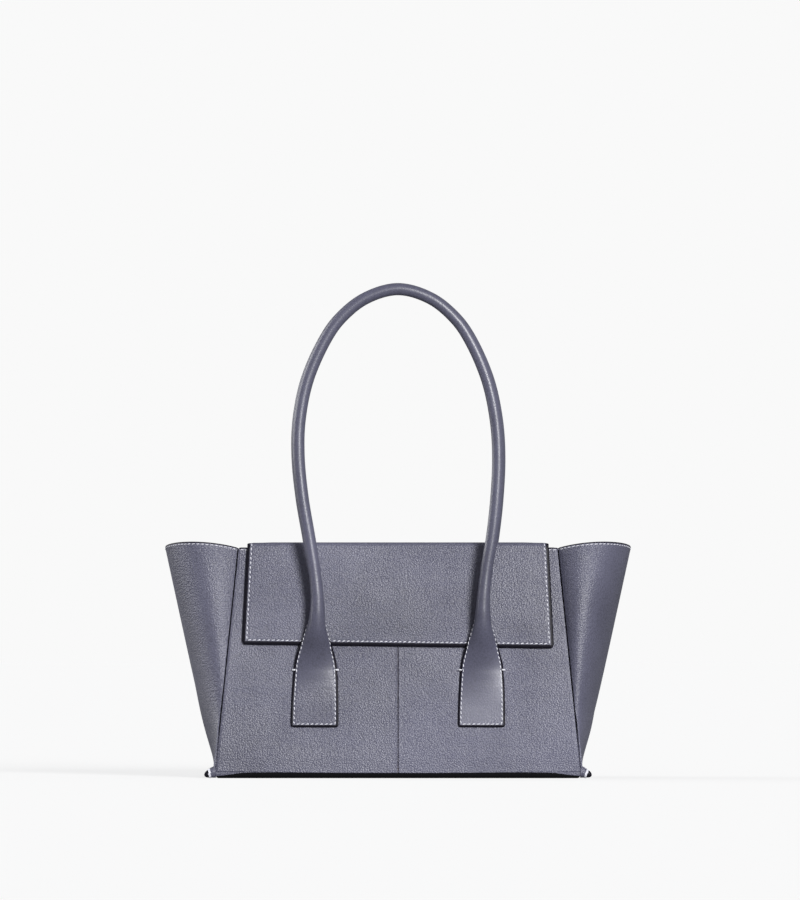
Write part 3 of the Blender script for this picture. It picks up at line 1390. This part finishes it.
# %% The handle as one surface
class Handle:
    """One handle's strip: place(u, run), with run in metres from the left bar tacks."""

    def __init__(self, word, face, spread, rise):
        self.word, self.face = word, face
        self.start = TAB_TOP + GAP
        top = self.start + rise
        left = [(-spread * x, mix(self.start, top, z)) for x, z in LEFT_ROUTE]
        right = [(spread * x, mix(self.start, top, z)) for x, z in RIGHT_ROUTE]
        self.route, self.runs = smooth_route(np.array(left + right[-2::-1]))
        self.length, self.top = self.runs[-1], top
        self.tab = self.start - TAB_BOTTOM

    def centre(self, run):
        """x, z and the direction of the strip's middle line, straight down in the tabs."""
        inside = np.clip(run, 0.0, self.length)
        step = self.length / 400
        x, z = (np.interp(inside, self.runs, self.route[:, axis]) for axis in (0, 1))
        ahead = [np.interp(inside + step, self.runs, self.route[:, axis]) for axis in (0, 1)]
        behind = [np.interp(inside - step, self.runs, self.route[:, axis]) for axis in (0, 1)]
        along = unit(np.stack([ahead[0] - behind[0], ahead[1] - behind[1]], axis=-1))
        left_tab, right_tab = run < 0, run > self.length
        below = np.where(left_tab, -run, 0.0) + np.where(right_tab, run - self.length, 0.0)
        tab_x = np.where(left_tab, -TAB_SPACING / 2, TAB_SPACING / 2)
        x = np.where(left_tab | right_tab, mix(x, tab_x, eased(below / self.tab)), x)
        up = eased(np.minimum(run, self.length - run) / 0.02)[..., None]
        straight = stack(0.0, np.where(run < self.length / 2, 1.0, -1.0))
        return x, z - below, unit(mix(straight, along, up))

    def section(self, run):
        """Turn of the arc, width of the strip, and the stand-off of its edges."""
        share = np.minimum(run, self.length - run) / ROLL_HEIGHT
        full_width = 2 * math.pi * TUBE_RADIUS - ROLL_SLIT
        turn = np.maximum(np.interp(share, *turn_curve) * full_width / TUBE_RADIUS, 1e-3)
        below = np.clip(-share * ROLL_HEIGHT, 0, self.tab)
        neck = mix(TAB_NECK_WIDTH, TAB_WIDTH, 1 - (1 - below / self.tab) ** 2)
        width = mix(neck, full_width, eased(share * 4.0))
        return turn, width, np.interp(share, *stand_off_curve) * TUBE_CLEARANCE

    def ridge(self, run):
        """Distance of the strip's middle line from the bag's middle plane, and its radius."""
        turn, width, stand_off = self.section(run)
        z = self.centre(run)[1]
        lean = TUBE_LEAN * eased((z - FLAP_TOP) / (self.top - FLAP_TOP))
        above = np.clip(z - TAB_TOP, 0.0, None)
        leaning = np.minimum(z, TAB_TOP) + 0.012 * (1 - np.exp(-above / 0.012))
        edge = tab_face(leaning) + stand_off - lean
        radius = width / turn
        return edge + radius * (1 - np.cos(turn / 2)), radius

    def place(self, u, run):
        """A point of the strip's outer face: an arc of a circle across it."""
        u, run = np.broadcast_arrays(np.asarray(u, float) * -self.face, np.asarray(run, float))
        turn, width, _ = self.section(run)
        x, z, along = self.centre(run)
        ridge, radius = self.ridge(run)
        sideways = radius * np.sin(u * turn / 2)
        inwards = radius * (1 - np.cos(u * turn / 2))
        channel = 0.0003 * np.exp(-(((width / 2 * (1 - np.abs(u)) - TAB_SEAM_INSET) / 0.0008) ** 2))
        wrinkle = np.exp(-((((run - 0.0605) % 0.0027 - 0.00135) / 0.0005) ** 2))
        crease = 0.00018 * wrinkle * (np.abs(run - 0.0646) < 0.00405) * (u * self.face > -0.1)
        y = self.face * (ridge - inwards - channel * (run < 0.05) - crease * (self.face < 0))
        return stack(x + along[..., 1] * sideways, y, z - along[..., 0] * sideways)

    def bend(self, thing):
        """Follows the body below the bar tacks and the handle's loop above them."""
        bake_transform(thing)
        return thing


def build_strip(handle):
    """The strip itself, its two rows of stitches, and the bar tacks that hold it."""
    word = handle.word
    low = -handle.tab * (1 - spaced(60, 0.4)[:-1])
    rolling = np.linspace(0, ROLL_HEIGHT, 60)[1:]
    middle = np.linspace(ROLL_HEIGHT, handle.length - ROLL_HEIGHT, 330)[1:-1]
    left = np.concatenate([low, rolling])
    runs = np.concatenate([left, middle, handle.length - left[::-1]])
    across, along = np.meshgrid(2 * spaced(45, 0.4) - 1, runs)
    strip = sheet(
        f"{word}_handle_strip", handle.place(across, along), HANDLE_LEATHER,
        [tube_leather, edge_paint, suede],
        [f"{word}_handle", f"{word}_tab_left", f"{word}_tab_right"], bulge=TAB_BULGE,
    )
    handle.bend(strip)
    for side_word, flipped in (("left", False), ("right", True)):
        upward = np.linspace(-handle.tab + TAB_SEAM_INSET + 0.0015, 0.066, 140)
        run = handle.length - upward if flipped else upward
        inner = 1 - 2 * TAB_SEAM_INSET / handle.section(run)[1]
        foot = handle.tab - TAB_SEAM_INSET
        end = np.full(60, handle.length + foot if flipped else -foot)
        across = np.linspace(-inner[0] + 0.06, inner[0] - 0.06, 60)
        u = np.concatenate([-inner[::-1], across, inner])
        path = np.concatenate([run[::-1], end, run])
        row = stitch_row(f"{word}_tab_stitches_{side_word}", handle.place, u, path, slant=12.0)
        handle.bend(row)


front_handle = Handle("front", FRONT, 0.090, 0.3414)
rear_handle = Handle("rear", REAR, 0.0925, 0.3456)
build_strip(front_handle)
build_strip(rear_handle)
print("handle strips", round(front_handle.length + 2 * front_handle.tab, 3), "m long")


# %% Bar tacks
def bar_tacks(handle):
    """Two short threads over each edge of the strip, where the handle starts to bend."""
    centres = [
        handle.place(0.985 * u, run) + np.array([0, 0.0001 * handle.face, 0.0006 * row - 0.0012])
        for run in (0.0, handle.length) for u in (-1.0, 1.0) for row in (0, 1)
    ]
    along = np.tile([1.0, 0.0, 0.0], (len(centres), 1))
    side = np.tile([0.0, 0.0, -float(handle.face)], (len(centres), 1))
    thing = set_beads(f"{handle.word}_bar_tacks", np.array(centres), along, side, 0.0040, 0.0007)
    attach(thing, "bag_body")


bar_tacks(front_handle)
bar_tacks(rear_handle)


# %% The ropes in the handles
ROPE_RADIUS = TUBE_RADIUS - HANDLE_LEATHER - 0.0006


def build_rope(handle):
    """A three-ply rope: a tube whose radius swells three times round, turning as it goes."""
    rows, columns = 360, 18
    run, angle = np.meshgrid(
        np.linspace(ROLL_HEIGHT, handle.length - ROLL_HEIGHT, rows),
        np.arange(columns) * 2 * np.pi / columns,
        indexing="ij",
    )
    x, z, along = handle.centre(run)
    ridge, radius = handle.ridge(run)
    ply = ROPE_RADIUS * (0.90 + 0.10 * np.cos(3 * angle + 2 * np.pi * run / 0.024))
    sideways, outwards = ply * np.cos(angle), ply * np.sin(angle)
    points = stack(
        x + along[..., 1] * sideways,
        handle.face * (ridge - radius + outwards),
        z - along[..., 0] * sideways,
    ).reshape(-1, 3)
    points, quads, fans = closed_tube(points, rows)
    if handle.face == FRONT:
        quads, fans = quads[:, ::-1], fans[:, ::-1]
    name = f"{handle.word}_handle"
    mesh = make_mesh(f"{name}_rope", points, quads, fans)
    thing = add_piece(f"{name}_rope", mesh, [rope], [f"{name}_core"])
    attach(thing, f"{name}_loop")


build_rope(front_handle)
build_rope(rear_handle)
print("ropes", round(ROPE_RADIUS * 2000, 1), "mm thick")

# %% [markdown]
# ## Hidden pieces
# The boards and the magnets keep their CAD shapes, which are right as they are, and get finishes.

# %% Boards and magnets
for name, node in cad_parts.items():
    if "stiffener" in name or name == "base_board":
        node.material_slots[0].material = fibre_board
    elif "magnet" in name:
        node.material_slots[0].material = nickel
print("kept from the frame:", [n for n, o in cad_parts.items() if not o.hide_render])
